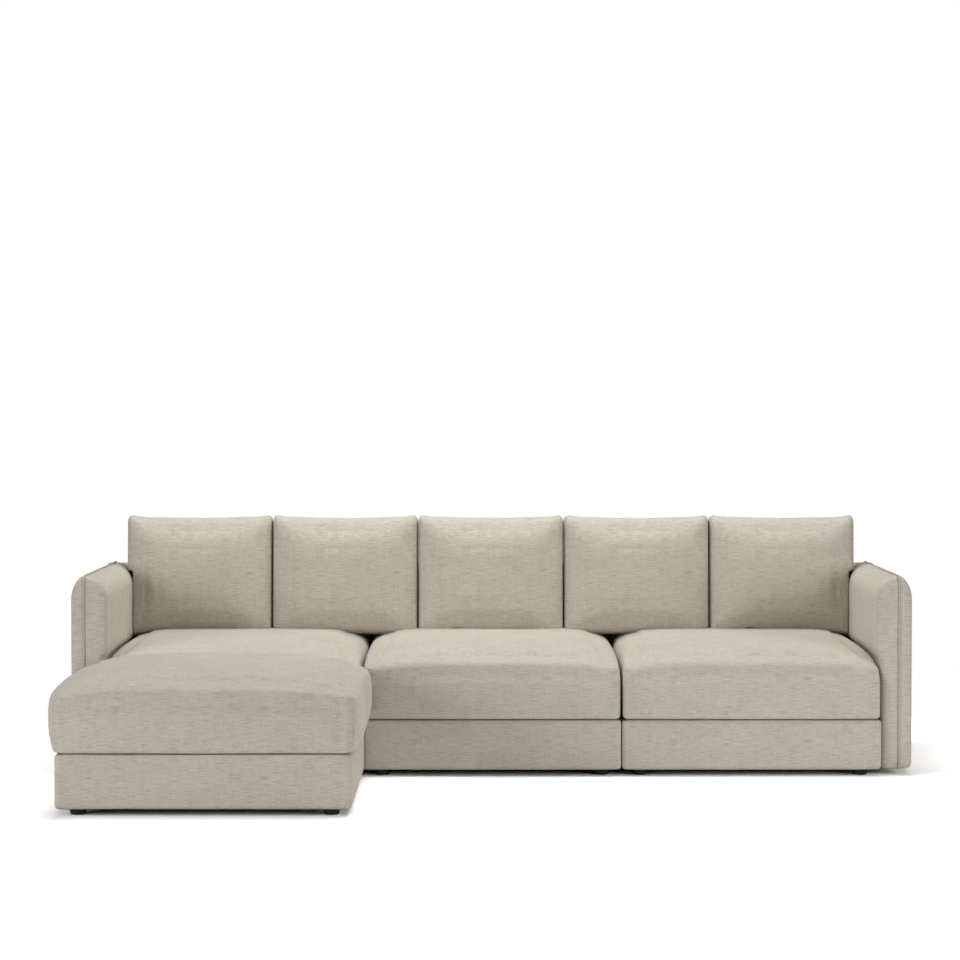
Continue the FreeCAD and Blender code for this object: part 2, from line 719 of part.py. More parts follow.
def build_arms(bores):
    """The right arm, its timber frame and its welt, and their mirror images.  Returns the two
    padded arms."""
    body = DOC.addObject("PartDesign::Body", "arm_padding")
    section = new_sketch(body, "arm_section", "XZ_Plane")
    arm_outline(section)
    long_pad = pad(body, section, "arm_length", flip=True)
    depth = Vector(0, 1, 0)
    floor_edges = edge_names(
        long_pad.Shape, lambda edge: along_axis(edge, depth) and in_plane(edge, Vector(0, 0, 1), 0)
    )
    eased = fillet(body, long_pad, floor_edges, "arm_foot_radius")
    round_ends(body, eased, depth, num("arm_length"), "arm_edge_radius")
    hollow = new_sketch(body, "arm_hollow", "XY_Plane")
    rectangle(
        hollow,
        ("arm_bulge + arm_pad", "arm_pad"),
        ("arm_bulge + arm_thickness - arm_pad", "arm_length - arm_pad"),
    )
    pocket(body, hollow, "arm_rise - arm_top_pad")
    place(body, "arm_x - arm_bulge", "arm_y", "base_lift")

    welt = welt_body("arm_cord", "arm_length", "arm_rise", "arm_edge_radius")
    turn(welt, Vector(0, 0, 1), 90)
    place(welt, "arm_x + arm_thickness - welt_inset", "arm_y", "base_lift")
    right_pad = cut("arm_padding_bored", body, group("arm_tools", [welt, bores]))

    corner = ("arm_x + arm_pad", "arm_y + arm_pad")
    boards = frame_boards(
        "arm", corner, "arm_core", "arm_length - 2 * arm_pad", "arm_top_pad", "arm_rise"
    )
    right_frame = cut("arm_frame_bored", group("arm_boards", boards), bores)
    pairs = {}
    for obj, label in ((right_pad, "arm_pad"), (right_frame, "arm_frame"), (welt, "arm_welt")):
        twin = mirrored(f"{label}_twin", obj)
        pairs[label] = (node(obj, f"right_{label}"), node(twin, f"left_{label}"))
    return pairs["arm_pad"]


def frame_boards(tag, corner, thick, long, top_pad, rise, across=False):
    """Sill, head and three posts of an upright frame that runs along Y, or along X."""
    tall = f"{rise} - {top_pad}"
    between = f"{long} - 2 * post_width"
    clear = f"{tall} - sill_height - head_height"

    def board(name, shift, up, length, height):
        if across:
            at = (f"{corner[0]} + {shift}", corner[1], f"base_lift + {up}")
            return box(f"{tag}_{name}", at, (length, thick, height))
        at = (corner[0], f"{corner[1]} + {shift}", f"base_lift + {up}")
        return box(f"{tag}_{name}", at, (thick, length, height))

    return [
        board("first_post", "0", "0", "post_width", tall),
        board("last_post", f"{long} - post_width", "0", "post_width", tall),
        board("sill", "post_width", "0", between, "sill_height"),
        board("head", "post_width", f"{tall} - head_height", between, "head_height"),
        board("middle_post", f"({long} - post_width) / 2", "sill_height", "post_width", clear),
    ]


def back_padding(tag, left, width):
    """The padding of one back: a slab with a rolled top, open below for its frame."""
    body = DOC.addObject("PartDesign::Body", f"{tag}_padding")
    outline = new_sketch(body, f"{tag}_outline", "XY_Plane")
    rectangle(outline, ("0", "0"), (width, "back_thickness"))
    slab = pad(body, outline, "back_rise")
    sideways, up = Vector(1, 0, 0), Vector(0, 0, 1)
    top = edge_names(
        slab.Shape,
        lambda edge: along_axis(edge, sideways) and in_plane(edge, up, num("back_rise")),
    )
    rolled = fillet(body, slab, top, "back_top_radius")
    floor = edge_names(
        rolled.Shape, lambda edge: along_axis(edge, sideways) and in_plane(edge, up, 0)
    )
    eased = fillet(body, rolled, floor, "back_foot_radius")
    round_ends(body, eased, sideways, num(width), "back_edge_radius")
    hollow = new_sketch(body, f"{tag}_hollow", "XY_Plane")
    rectangle(
        hollow, ("back_pad", "back_pad"), (f"{width} - back_pad", "back_thickness - back_pad")
    )
    pocket(body, hollow, "back_rise - back_top_pad")
    return place(body, left, "back_y", "base_lift")


def build_back(tag, left, width, welt, bores):
    """One padded back with its timber frame, grooved for its welt."""
    body = back_padding(tag, left, width)
    padding = cut(f"{tag}_padding_bored", body, group(f"{tag}_tools", [welt, bores]))
    corner = (f"{left} + back_pad", "back_y + back_pad")
    long = f"{width} - 2 * back_pad"
    boards = frame_boards(tag, corner, "back_core", long, "back_top_pad", "back_rise", across=True)
    frame = cut(f"{tag}_frame_bored", group(f"{tag}_boards", boards), bores)
    return [(padding, f"{tag}_pad"), (frame, f"{tag}_frame"), (welt, f"{tag}_welt")]


def build_backs(bores):
    """A back behind each seat; the outer ones also close the ends of the arms."""
    welt_y = "back_y + back_thickness - back_top_radius"
    straight = rod(
        "middle_back_cord",
        ("back_edge_radius - seat_width / 2", welt_y, "back_height"),
        "welt_diameter",
        "seat_width - 2 * back_edge_radius",
        "x",
    )
    for obj, label in build_back("middle_back", "-seat_width / 2", "seat_width", straight, bores):
        node(obj, label)
    bent = welt_body("side_back_cord", "side_back_width", "back_rise", "back_edge_radius")
    turn(bent, Vector(0, 0, 1), 180)
    place(bent, "arm_x + arm_thickness", welt_y, "base_lift")
    for obj, label in build_back("right_back", "inner_seam", "side_back_width", bent, bores):
        node(obj, label)
        twin = label.replace("right", "left")
        node(mirrored(f"{twin}_twin", obj), twin)


def stroke(path, level):
    """A straight edge between two points, or an arc through three, at one level."""
    ends = [Vector(x, y, level) for x, y in path]
    curve = Part.Arc(*ends) if len(ends) == 3 else Part.LineSegment(*ends)
    return curve.toShape()


def soft_outline(low, high, corner, draw, level):
    """A closed wire at one level: rounded corners, straight sides, and a front and rear that
    draw in between their corners."""
    (left, front), (right, rear) = low, high
    middle = (left + right) / 2
    sides = [
        ((left + corner, front), (middle, front + draw), (right - corner, front)),
        ((right, front + corner), (right, rear - corner)),
        ((right - corner, rear), (middle, rear - draw), (left + corner, rear)),
        ((left, rear - corner), (left, front + corner)),
    ]
    part_way = corner * (1 - math.sqrt(0.5))
    turns = [
        (right - part_way, front + part_way),
        (right - part_way, rear - part_way),
        (left + part_way, rear - part_way),
        (left + part_way, front + part_way),
    ]
    edges = []
    for index, side in enumerate(sides):
        following = sides[(index + 1) % 4]
        edges.append(stroke(side, level))
        edges.append(stroke((side[-1], turns[index], following[0]), level))
    return Part.Wire(edges)


def crown_levels(reach, widest, crown):
    """Insets and levels of a soft crown that rises from the widest level."""
    for step in CROWN_STEPS:
        inset = reach * (1 - (1 - step**CROWN_POWER) ** (1 / CROWN_POWER))
        yield inset, widest + (crown - widest) * step / CROWN_STEPS[-1]


def crown_face(low, high, place):
    """The domed surface over a cushion: lowest over the front corners, higher over the middle
    of each edge and highest at the crown, which lies at a share of the depth."""
    edge, side, crown = num("seat_edge"), num("seat_side"), num("seat_crown")
    half = (high[0] - low[0]) / 2
    reach = (high[1] - low[1]) * place
    lift = (side - edge) / (crown - edge)
    centre = ((low[0] + high[0]) / 2, low[1] + reach)
    last = CROWN_POINTS - 1
    steps = [CROWN_MARGIN * (2 * index / last - 1) for index in range(CROWN_POINTS)]
    rows = []
    for u in steps:
        row = []
        for v in steps:
            across, along = abs(u) ** SEAT_CROWN_POWER, abs(v) ** SEAT_CROWN_POWER
            rise = 1 - (1 - lift) * (across + along) + (1 - 2 * lift) * across * along
            height = edge + (crown - edge) * rise
            row.append(Vector(centre[0] + half * u, centre[1] + reach * v, height))
        rows.append(row)
    surface = Part.BSplineSurface()
    surface.interpolate(rows)
    return surface.toShape()


def bowed_face(low, high, bow):
    """A flat face with square corners and sides that swell between them; the two corners
    given are those of its bounding box."""
    across, along = bow
    left, right = low[0] + across, high[0] - across
    front, rear = low[1] + along, high[1] - along
    middle = ((left + right) / 2, (front + rear) / 2)
    sides = [
        ((left, front), (middle[0], low[1]), (right, front)),
        ((right, front), (high[0], middle[1]), (right, rear)),
        ((right, rear), (middle[0], high[1]), (left, rear)),
        ((left, rear), (low[0], middle[1]), (left, front)),
    ]
    return Part.Face(Part.Wire([stroke(side, 0) for side in sides]))


def seat_solid(low, high, bow, place):
    """A box cushion with upright sides that swell a little, a domed top and soft edges."""
    tall = Vector(0, 0, 2 * num("seat_crown"))
    hem = num("seat_hem_radius")
    sides = bowed_face(low, high, bow).extrude(tall)
    block = sides.common(crown_face(low, high, place).extrude(-tall)).Solids[0]
    upright = [edge for edge in block.Edges if along_axis(edge, Vector(0, 0, 1))]
    eased = block.makeFillet(num("seat_corner"), upright)
    around = [edge for edge in eased.Edges if edge.BoundBox.ZMin > hem]
    eased = eased.makeFillet(num("seat_edge_radius"), around)
    return eased.makeFillet(hem, [edge for edge in eased.Edges if edge.BoundBox.ZMax < hem])


def soft_piece(name, shape, position, rotation=None):
    """A finished soft piece from a shape of its own."""
    piece = DOC.addObject("Part::Feature", name)
    piece.Shape = shape
    piece.Placement = Placement(position, rotation or Rotation())
    return piece


def build_seat_cushions():
    """One crowned cushion on each seat."""
    half = num("module_width") / 2 - num("seat_side_gap")
    low = (-half, -num("seat_overhang"))
    high = (half, num("module_depth") - num("seat_rear_gap"))
    bow = (num("seat_bow"), num("seat_bow"))
    cushions = []
    for step, seat in enumerate(SEATS, start=-1):
        spot = Vector(step * num("module_width"), num("front_y"), num("base_top"))
        solid = seat_solid(low, high, bow, SEAT_CROWN_PLACE)
        cushion = soft_piece(f"{seat.name}_soft", solid, spot)
        cushions.append(node(cushion, f"{seat.name}_cushion"))
    return cushions


def build_stool_cushion():
    """The footstool's cushion, whose sides swell past its base."""
    over, bow = num("stool_overhang"), (num("stool_bow"), num("seat_bow"))
    half = num("stool_width") / 2 + bow[0]
    high = (half, num("stool_depth") + num("stool_rear_overhang"))
    spot = Vector(num("stool_x"), num("stool_y"), num("base_top"))
    solid = seat_solid((-half, -over), high, bow, STOOL_CROWN_PLACE)
    node(soft_piece("footstool_soft", solid, spot), "footstool_cushion")


def loose_solid():
    """A loose cushion lying on its back, with a crown on both faces and a top and bottom that
    draw in between the corners."""
    half, tall = num("cushion_width") / 2, num("back_cushion_height")
    middle = num("back_cushion_thickness") / 2
    reach = min(half, tall / 2)
    draw = num("back_cushion_draw")
    front = list(crown_levels(reach, middle, 2 * middle))
    levels = [(inset, 2 * middle - level) for inset, level in reversed(front)]
    levels += [(0, middle), *front]
    wires = []
    for inset, level in levels:
        low, high = (-half + inset, inset), (half - inset, tall - inset)
        corner = num("back_cushion_corner") + CORNER_GROWTH * inset
        wires.append(soft_outline(low, high, corner, draw, level))
    return Part.makeLoft(wires, True, False, False, 3)


def prints(seats, arms):
    """What presses into the loose cushions: the seats and arms, each moved towards them by
    the clearance between soft pieces, and below the crowns of the arms the room that the outer
    cushions need to be lifted out past the fullest part of an arm."""
    clear = num("soft_clear")
    shapes = [seat.Shape.translated(Vector(0, 0, clear)) for seat in seats]
    inner = num("arm_x") - num("arm_bulge") - clear
    thick, deep = num("arm_thickness"), 2 * num("back_y")
    rise = num("arm_height") - num("arm_crown_radius")
    for arm, inwards, x in zip(arms, (-clear, clear), (inner, -inner - thick)):
        shapes.append(arm.Shape.translated(Vector(inwards, 0, 0)))
        shapes.append(Part.makeBox(thick, deep, rise, Vector(x, 0, 0)))
    return shapes


def build_back_cushions(seats, arms):
    """Five loose cushions that lean on the backs, pressed by the seats under them and by the
    arms beside the outer two."""
    lean = math.radians(num("back_cushion_lean"))
    above = num("back_height") - num("cushion_z")
    rear = num("back_y") - num("soft_clear") / math.cos(lean) - above * math.tan(lean)
    upright = Rotation(Vector(1, 0, 0), 90 - num("back_cushion_lean"))
    pressing = prints(seats, arms)
    pitch = num("cushion_width") + num("back_cushion_gap")
    for index in range(5):
        shape = loose_solid()
        shape.Placement = Placement(Vector((index - 2) * pitch, rear, num("cushion_z")), upright)
        pressed = shape.cut(pressing)
        node(soft_piece(f"loose_{index + 1}", pressed, Vector()), f"back_cushion_{index + 1}")


def build():
    """Make every piece, fasteners first because their bores are cut from the rest."""
    foot = foot_body()
    bases = [*SEATS, STOOL]
    for base in bases:
        build_feet(base, foot)
    build_arm_bolts()
    build_back_bolts()
    build_links()
    bores = group("bores", BORES)
    for base in bases:
        build_frame(base, bores)
        build_webbing(base)
        build_sheets(base, bores)
        build_cover(base, bores)
    arms = build_arms(bores)
    build_backs(bores)
    DOC.recompute()
    build_stool_cushion()
    build_back_cushions(build_seat_cushions(), arms)
    DOC.recompute()


def check():
    """Stop before anything is written if an object failed or a piece is not sound."""
    for obj in DOC.Objects:
        if {"Invalid", "Error"} & set(obj.State):
            raise RuntimeError(f"{obj.Name} failed: {obj.State}")
    for piece in NODES:
        shape = piece.Shape
        if shape.isNull() or not shape.isValid() or not shape.Solids:
            raise RuntimeError(f"{piece.Label} has no sound solid")


def write():
    """Write one file for each piece."""
    os.makedirs("parts", exist_ok=True)
    for piece in NODES:
        piece.Shape.exportStep(f"parts/{piece.Label}.step")
    print(f"{len(NODES)} pieces")


build()
check()
write()
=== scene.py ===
"""Looks of the three-seater sofa and its footstool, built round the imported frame.

The upholstery is sewn, filled and set on the frame piece by piece: padded base covers, arms
and backs, crowned seat cushions and loose back cushions, all in one oatmeal slub linen.  The
timber, webbing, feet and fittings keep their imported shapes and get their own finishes.
"""

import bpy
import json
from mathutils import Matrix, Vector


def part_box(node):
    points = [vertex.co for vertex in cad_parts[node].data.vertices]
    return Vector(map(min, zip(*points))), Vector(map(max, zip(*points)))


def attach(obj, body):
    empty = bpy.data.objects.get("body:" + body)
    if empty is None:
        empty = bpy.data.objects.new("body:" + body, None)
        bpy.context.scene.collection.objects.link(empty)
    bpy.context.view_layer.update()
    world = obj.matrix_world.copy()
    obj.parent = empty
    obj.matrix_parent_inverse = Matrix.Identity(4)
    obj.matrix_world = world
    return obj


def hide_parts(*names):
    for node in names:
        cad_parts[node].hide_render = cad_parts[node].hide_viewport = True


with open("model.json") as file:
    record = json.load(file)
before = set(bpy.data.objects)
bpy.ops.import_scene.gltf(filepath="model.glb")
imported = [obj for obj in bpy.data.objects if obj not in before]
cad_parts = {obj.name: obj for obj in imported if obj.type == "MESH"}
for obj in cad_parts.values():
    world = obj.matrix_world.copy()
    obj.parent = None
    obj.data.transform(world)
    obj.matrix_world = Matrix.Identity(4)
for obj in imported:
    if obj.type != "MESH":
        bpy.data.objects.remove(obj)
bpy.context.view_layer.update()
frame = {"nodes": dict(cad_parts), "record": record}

import json
import math

import bpy
import numpy as np
from bpy.props import FloatProperty, FloatVectorProperty, IntProperty, PointerProperty
from mathutils import Vector, noise

bl_info = {
    "name": "Three-seater sofa with footstool",
    "version": (1, 0, 0),
    "blender": (4, 5, 0),
    "location": "View3D > Sidebar > Sofa",
    "description": "Upholsters the packed sofa frame and sets it on a plain studio floor",
    "category": "Object",
}

MM = 0.001
BASES = ("left_seat", "middle_seat", "right_seat", "footstool")
BACKS = ("left", "middle", "right")
ARMS = ("left", "right")
LOOSE = tuple(f"back_cushion_{n}" for n in range(1, 6))

# The ways in which a cover swells, as axis and sign
FACINGS = {"left": (0, -1), "right": (0, 1), "front": (1, -1), "top": (2, 1)}

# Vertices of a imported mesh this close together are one, and those this close to a seam lie on it
WELD = 0.02 * MM
ON_SEAM = 0.01 * MM

# Part of a cover this close to its timber frame is an inner wall
NEAR_FRAME = 12 * MM

# Power of the curve round a sewn corner, and how far out on it a tuck sits
CORNER_POWER = 4
TUCK_SHARE = 0.8

# Where more than this share of a cushion's normal points back, it is the cushion's rear
REAR_FACING = 0.7

# Width of one band of a wave texture at scale 1
BAND = math.pi / 10

# Each light panel's place, the point that it faces, and its breadth and height, in metres
PANELS = {
    "overhead": ((0, 0.5, 3.4), (0, 0.2, 0), (3.6, 2.4)),
    "left": ((-5, -4, 1.8), (0, 0.2, 0.4), (3, 2.5)),
    "right": ((5, -4, 1.8), (0, 0.2, 0.4), (3, 2.5)),
}


def linear(code):
    """An sRGB hex colour as linear red, green and blue."""
    shares = [int(code[i:i + 2], 16) / 255 for i in (0, 2, 4)]
    return tuple(s / 12.92 if s <= 0.04045 else ((s + 0.055) / 1.055) ** 2.4 for s in shares)


def colour(name, code, description):
    """A colour that the user can change."""
    return FloatVectorProperty(
        name=name, description=description, subtype="COLOR", size=3, min=0, max=1,
        default=linear(code),
    )


def length(name, millimetres, description):
    """A size that the user can change, in metres."""
    return FloatProperty(
        name=name, description=description, unit="LENGTH", precision=4, default=millimetres * MM,
    )


class SofaFabric(bpy.types.PropertyGroup):
    """The linen and its weave."""

    ground: colour("Ground", "BFB9AC", "Undyed yarn that makes up most of the cloth")
    slub: colour("Slub", "9A9280", "Darker thick places in the weft")
    fleck: colour("Fleck", "D6D1C5", "Paler places that catch the light")
    slub_run: length("Slub length", 44, "Usual length of a thick place in the weft")
    slub_rise: length("Slub height", 2.4, "Height of a thick place in the weft")
    end_width: length("Warp end", 2.2, "Width of the paler and darker warp ends")
    end_run: length("Warp run", 60, "Length over which a warp end keeps its shade")
    patch: length("Patch", 140, "Size of the faint cloudiness over the cloth")
    thread: length("Thread spacing", 1.6, "Spacing of the threads, warp and weft alike")


class SofaFilling(bpy.types.PropertyGroup):
    """How the padding fills its covers."""

    pressure: FloatProperty(
        name="Pressure", description="Pressure of the filling on its cover", default=4.0,
    )
    frames: IntProperty(name="Frames", description="Frames in which the cloth settles", default=12)
    steps: IntProperty(name="Steps", description="Steps of the cloth in each frame", default=2)
    start: length("Start", 6, "How far inside its finished surface a cover starts")
    give: length("Give", 5, "Furthest that the cloth may stay inside its finished surface")
    side_press: length("Side press", 0.7, "Least swell at the sides, where cushions press together")
    seat_mesh: length("Seat mesh", 10, "Mesh size of the seat cushions, halved when finished")
    loose_mesh: length("Loose mesh", 8, "Mesh size of the loose cushions, halved when finished")
    seat_front: length("Seat front", 5, "Furthest that a seat cushion swells at its front")
    seat_side: length("Seat side", 0.5, "Furthest that a seat cushion swells at its sides")
    seat_top: length("Seat top", 3, "Furthest that a seat cushion swells at its top")
    seat_hem: length("Seat hem", 14, "Height of a seat cushion's lower edge, which stays as sewn")
    seat_ripple: length("Seat ripple", 1.5, "Unevenness of the seat cushions")
    seat_wave: length("Seat wave", 190, "Size of the hollows in the seat cushions")
    loose_front: length("Loose front", 6, "Furthest that a loose cushion swells at its front")
    loose_side: length("Loose side", 0.8, "Furthest that a loose cushion swells at its sides")
    loose_top: length("Loose top", 3, "Furthest that a loose cushion swells at its top")
    loose_rounds: IntProperty(
        name="Loose rounds", description="Rounds of smoothing on the loose cushions", default=14,
    )
    rear_rounds: IntProperty(
        name="Rear rounds", description="Rounds of smoothing on the rear of the loose cushions",
        default=150,
    )
    loose_ripple: length("Loose ripple", 2, "Unevenness of the loose cushions")
    loose_wave: length("Loose wave", 120, "Size of the hollows in the loose cushions")
    panel_mesh: length("Panel mesh", 8, "Mesh size of the arms, backs and base covers")
    panel_rounds: IntProperty(
        name="Panel rounds", description="Rounds of smoothing on those panels", default=4,
    )
    panel_ripple: length("Panel ripple", 1.5, "Unevenness of the padding under those panels")
    panel_wave: length("Panel wave", 170, "Size of the hollows in that padding")


class SofaSeams(bpy.types.PropertyGroup):
    """Sewn lines, welts and corners."""

    width: length("Width", 3, "Width of a sewn line")
    depth: length("Depth", 2.5, "How far a sewn line is drawn in")
    corner: length("Corner", 34, "Corner of a cushion to the middle of its rounding")
    tuck_drop: length("Tuck drop", 88, "Crown of a cushion to the upper end of a corner seam")
    tuck_depth: length("Tuck depth", 12, "How far the upper end of a corner seam is drawn in")
    tuck_reach: length("Tuck reach", 18, "Size of the hollow round that end")
    groove: length("Welt groove", 7, "Width of the groove along a welt")
    welt_gap: length("Welt gap", 0.8, "How much a welt stands clear of its groove")
    ear: length("Ear", 6, "How far the upper corners of a loose cushion stand up")
    ear_reach: length("Ear reach", 45, "Size of those corners")
    shoulder: length("Shoulder", 12, "Fullness of a seat cushion beside its crown")
    puff: length("Puff", 56, "Fullness of the footstool cushion's sides near its corners")


class SofaStage(bpy.types.PropertyGroup):
    """Camera and light."""

    eye: FloatVectorProperty(
        name="Eye", description="Where the camera stands", subtype="TRANSLATION",
        default=(-0.038, -8.746, 1.224),
    )
    pitch: FloatProperty(
        name="Pitch", description="How far the camera looks down", subtype="ANGLE",
        default=math.radians(1.65),
    )
    lens: FloatProperty(name="Lens", description="Focal length in millimetres", default=100)
    film: FloatProperty(name="Film", description="Width of the film in millimetres", default=36)
    wall: FloatProperty(
        name="Wall", description="Where the floor ends behind the sofa", default=1.6, unit="LENGTH",
    )
    depth: FloatProperty(
        name="Depth", description="Depth of the floor", default=5.4, unit="LENGTH",
    )
    breadth: FloatProperty(
        name="Breadth", description="Breadth of the floor", default=6.4, unit="LENGTH",
    )
    overhead: FloatProperty(name="Overhead", description="Power of the overhead panel", default=123)
    left: FloatProperty(name="Left", description="Power of the left panel", default=205)
    right: FloatProperty(name="Right", description="Power of the right panel", default=190)
    paint: FloatProperty(
        name="Paint", description="Reflectance of the floor's white paint", default=0.93,
    )
    floor: FloatProperty(
        name="Floor", description="Reflectance of the floor as the camera sees it", default=1.8,
    )


def clear_selection():
    """Leaves nothing selected, in object mode."""
    if bpy.context.mode != "OBJECT":
        bpy.ops.object.mode_set(mode="OBJECT")
    bpy.ops.object.select_all(action="DESELECT")


def select_only(obj):
    """Makes one object the selected and active one."""
    clear_selection()
    obj.select_set(True)
    bpy.context.view_layer.objects.active = obj


def points(obj):
    """The vertices of a mesh as rows of x, y and z."""
    co = np.empty(len(obj.data.vertices) * 3)
    obj.data.vertices.foreach_get("co", co)
    return co.reshape(-1, 3)


def set_points(obj, co):
    """Moves the vertices of a mesh."""
    obj.data.vertices.foreach_set("co", np.ascontiguousarray(co).ravel())
    obj.data.update()


def normals(obj):
    """The vertex normals of a mesh as rows of x, y and z."""
    co = np.empty(len(obj.data.vertices) * 3)
    obj.data.vertex_normals.foreach_get("vector", co)
    return co.reshape(-1, 3)


def face_centres(obj):
    """The middles of a mesh's faces as rows of x, y and z."""
    co = np.empty(len(obj.data.polygons) * 3)
    obj.data.polygons.foreach_get("center", co)
    return co.reshape(-1, 3)


def apply(obj, kind, **settings):
    """Adds a modifier with its settings and applies it."""
    select_only(obj)
    modifier = obj.modifiers.new(kind.title(), kind)
    for key, value in settings.items():
        setattr(modifier, key, value)
    bpy.ops.object.modifier_apply(modifier=modifier.name)


def copied(node, name):
    """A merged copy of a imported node's mesh as a new object."""
    obj = bpy.data.objects.new(name, frame["nodes"][node].data.copy())
    obj.data.name = name
    bpy.context.scene.collection.objects.link(obj)
    obj.data.materials.clear()
    select_only(obj)
    bpy.ops.object.mode_set(mode="EDIT")
    bpy.ops.mesh.select_all(action="SELECT")
    bpy.ops.mesh.remove_doubles(threshold=WELD)
    bpy.ops.object.mode_set(mode="OBJECT")
    return obj


def remeshed(obj, voxel):
    """Gives a closed mesh even quads."""
    select_only(obj)
    obj.data.remesh_voxel_size = voxel
    obj.data.remesh_voxel_adaptivity = 0
    bpy.ops.object.voxel_remesh()


def facing(outwards, amounts):
    """An amount at each vertex, blended from the amounts for the ways it can face."""
    total = np.zeros(len(outwards))
    for way, amount in amounts.items():
        axis, sign = FACINGS[way]
        total += amount * np.clip(sign * outwards[:, axis], 0, None) ** 2
    return total


def swell(front, side, top):
    """How far a cover may pass its finished surface, for each way that it can face."""
    return {"front": front, "left": side, "right": side, "top": top}


def group_of(obj, chosen):
    """The name of a new vertex group that holds the chosen vertices."""
    group = obj.vertex_groups.new(name="chosen")
    group.add([int(index) for index in np.flatnonzero(chosen)], 1, "REPLACE")
    return group.name


def box_of(node):
    """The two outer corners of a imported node."""
    return [np.array(corner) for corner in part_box(node)]


def blow_up(obj, held):
    """Lets the cloth of a cover settle under the pressure of its filling."""
    filling = bpy.context.scene.sofa_filling
    pinned = group_of(obj, held)
    select_only(obj)
    cloth = obj.modifiers.new("Cloth", "CLOTH")
    cloth.settings.use_pressure = True
    cloth.settings.uniform_pressure_force = filling.pressure
    cloth.settings.effector_weights.gravity = 0
    cloth.settings.quality = filling.steps
    cloth.settings.vertex_group_mass = pinned
    cloth.collision_settings.use_collision = False
    cloth.point_cache.frame_end = filling.frames
    for step in range(1, filling.frames + 1):
        bpy.context.scene.frame_set(step)
    bpy.ops.object.modifier_apply(modifier=cloth.name)
    bpy.context.scene.frame_set(1)
    obj.vertex_groups.clear()


def fill_cover(obj, furthest, held=None):
    """Fills a cover.  The cloth starts inside its finished surface and is blown up by the
    filling, and it may pass that surface only by the swell for the way it faces."""
    filling = bpy.context.scene.sofa_filling
    finished, outwards = points(obj), normals(obj)
    fixed = np.zeros(len(finished), dtype=bool) if held is None else held(finished)
    limit = facing(outwards, furthest)
    set_points(obj, finished - outwards * (filling.start * ~fixed)[:, None])
    blow_up(obj, fixed)
    moved = np.sum((points(obj) - finished) * outwards, axis=1)
    # 1 on the sides and wherever the cover is well turned towards them
    beside = np.clip(1.5 * np.abs(outwards[:, 0]), 0, 1)
    least = beside * (filling.give + filling.side_press) - filling.give
    moved = np.clip(moved, np.minimum(least, limit), limit)
    set_points(obj, finished + outwards * np.where(fixed, 0, moved)[:, None])


def in_frame(node):
    """A test for the inner walls of a padded cover: the points in or close to the timber frame
    that fills it."""
    low, high = box_of(node)

    def test(co):
        return np.all((co > low - NEAR_FRAME) & (co < high + NEAR_FRAME), axis=1)

    return test


def ripple(obj, depth, size, seed, share=1):
    """Draws the cloth in unevenly, by up to a depth, over hollows of about one size; the share
    of that depth may differ from vertex to vertex."""
    co, outwards = points(obj), normals(obj)
    # Each piece reads the noise at a place of its own
    shift = Vector((7.0 * seed, 0, 0))
    uneven = np.array([noise.noise(Vector(spot / size) + shift) for spot in co])
    amount = depth * (0.5 + 0.5 * uneven) * share
    set_points(obj, co - outwards * amount[:, None])


def seam(obj, point, across, wanted, width, depth):
    """Sews a line into a piece where a plane meets it: three cuts close together, with the
    middle one drawn in."""
    point, across = np.array(point), np.array(across)
    for shift in (-width / 2, 0, width / 2):
        select_only(obj)
        chosen = wanted(face_centres(obj))
        obj.data.polygons.foreach_set("select", chosen)
        bpy.ops.object.mode_set(mode="EDIT")
        bpy.ops.mesh.bisect(plane_co=point + shift * across, plane_no=across)
        bpy.ops.object.mode_set(mode="OBJECT")
    co = points(obj)
    line = (np.abs((co - point) @ across) < ON_SEAM) & wanted(co)
    co[line] -= depth * normals(obj)[line]
    set_points(obj, co)


def lay_cloth(obj, material):
    """Maps the cloth on a piece in metres, weft level, and gives it its material."""
    select_only(obj)
    bpy.ops.object.mode_set(mode="EDIT")
    bpy.ops.mesh.select_all(action="SELECT")
    bpy.ops.uv.cube_project(cube_size=1, correct_aspect=False)
    bpy.ops.object.mode_set(mode="OBJECT")
    obj.data.materials.clear()
    obj.data.materials.append(material)
    bpy.ops.object.shade_smooth()


def body_of(node):
    """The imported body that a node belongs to."""
    bodies = frame["record"]["behaviour"]["bodies"]
    return next(name for name, members in bodies.items() if node in members)


def stand_for(obj, node):
    """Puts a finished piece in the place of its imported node."""
    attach(obj, body_of(node))
    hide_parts(node)


def add(tree, kind, inputs=None, **settings):
    """Adds a node with its settings; an input that is a socket is linked."""
    made = tree.nodes.new(kind)
    for key, value in settings.items():
        setattr(made, key, value)
    for key, value in (inputs or {}).items():
        if isinstance(value, bpy.types.NodeSocket):
            tree.links.new(value, made.inputs[key])
        else:
            made.inputs[key].default_value = value
    return made


def new_material(name):
    """An empty material and its node tree, or a material that is already there and no tree."""
    found = bpy.data.materials.get(name)
    if found:
        return found, None
    material = bpy.data.materials.new(name)
    material.use_nodes = True
    material.node_tree.nodes.clear()
    return material, material.node_tree


